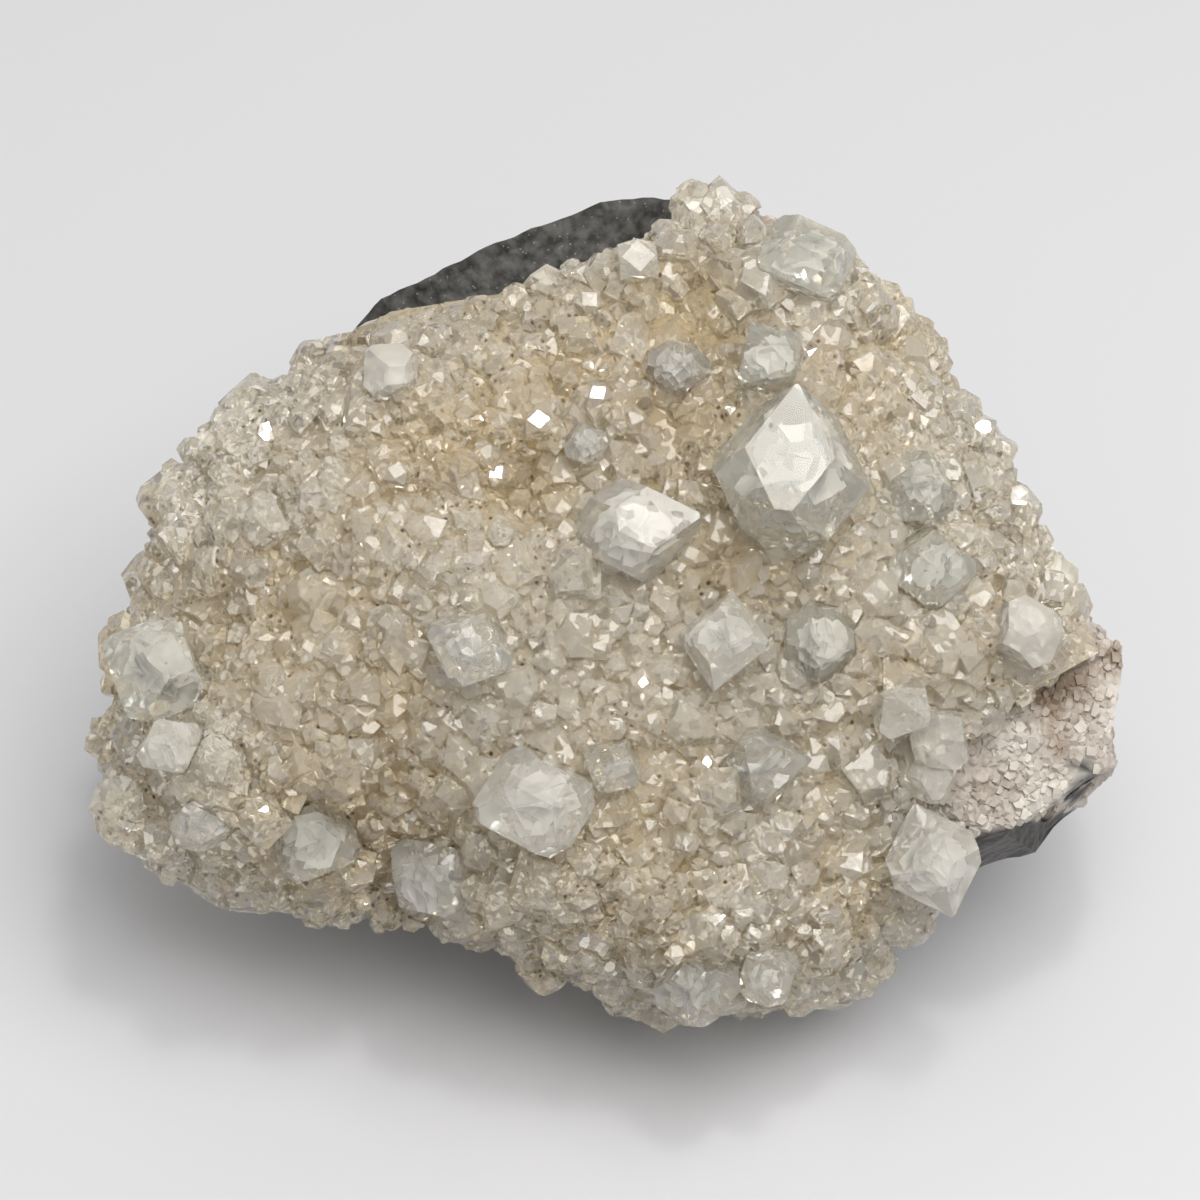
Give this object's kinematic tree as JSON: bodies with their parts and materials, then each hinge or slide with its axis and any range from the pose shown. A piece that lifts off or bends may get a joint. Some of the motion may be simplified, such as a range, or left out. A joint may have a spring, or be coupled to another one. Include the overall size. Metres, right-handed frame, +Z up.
{
  "type": "apophyllite cluster",
  "caption": "Natural cluster of blocky, milky to pale green apophyllite crystals on a white chalcedony coat over dark basalt, resting tilted on a small flat spot.",
  "frame": {"origin": "on the flat spot under the basalt that the specimen rests on, straight below the middle of the lump", "axes": "+Z up from the table, +X along the longest side of the crystal face, -Y towards the side that the crystal face leans to, so the face looks up and forward"},
  "size_m": [0.0976, 0.0698, 0.0663],
  "materials": {
    "basalt": "matt, granular, broken",
    "chalcedony": "sugary, waxy white",
    "crystal_crust": "glassy, milky cream, see-through at thin edges",
    "clear_apophyllite": "glassy, clear with milky veils",
    "green_apophyllite": "glassy, pale green, clear to milky",
    "milky_apophyllite": "glassy, milky white",
    "cream_apophyllite": "pearly to glassy, cream"
  },
  "bodies": {
    "root": {"basalt_matrix": "basalt", "chalcedony_crust": "chalcedony", "crystal_crust": "crystal_crust", "crystal_tall_point": "green_apophyllite", "crystal_fan": "green_apophyllite", "crystal_window": "clear_apophyllite", "crystal_top_shelf": "green_apophyllite", "crystal_left_spur": "green_apophyllite", "crystal_left_block": "milky_apophyllite", "crystal_knuckle": "clear_apophyllite", "crystal_hollow": "green_apophyllite", "crystal_corner": "clear_apophyllite", "crystal_milk_block": "milky_apophyllite", "crystal_side_block": "clear_apophyllite", "crystal_roof": "clear_apophyllite", "crystal_right_hexagon": "milky_apophyllite", "crystal_foot": "clear_apophyllite", "crystal_foot_small": "clear_apophyllite", "crystal_right_ledge": "cream_apophyllite", "crystal_flat_pyramid": "green_apophyllite", "crystal_green_block": "green_apophyllite", "crystal_grey_block": "green_apophyllite", "crystal_round": "milky_apophyllite", "crystal_centre": "clear_apophyllite", "crystal_wide": "milky_apophyllite", "crystal_bead": "clear_apophyllite", "crystal_cream_face": "cream_apophyllite", "crystal_clump": "milky_apophyllite"}
  },
  "joints": []
}
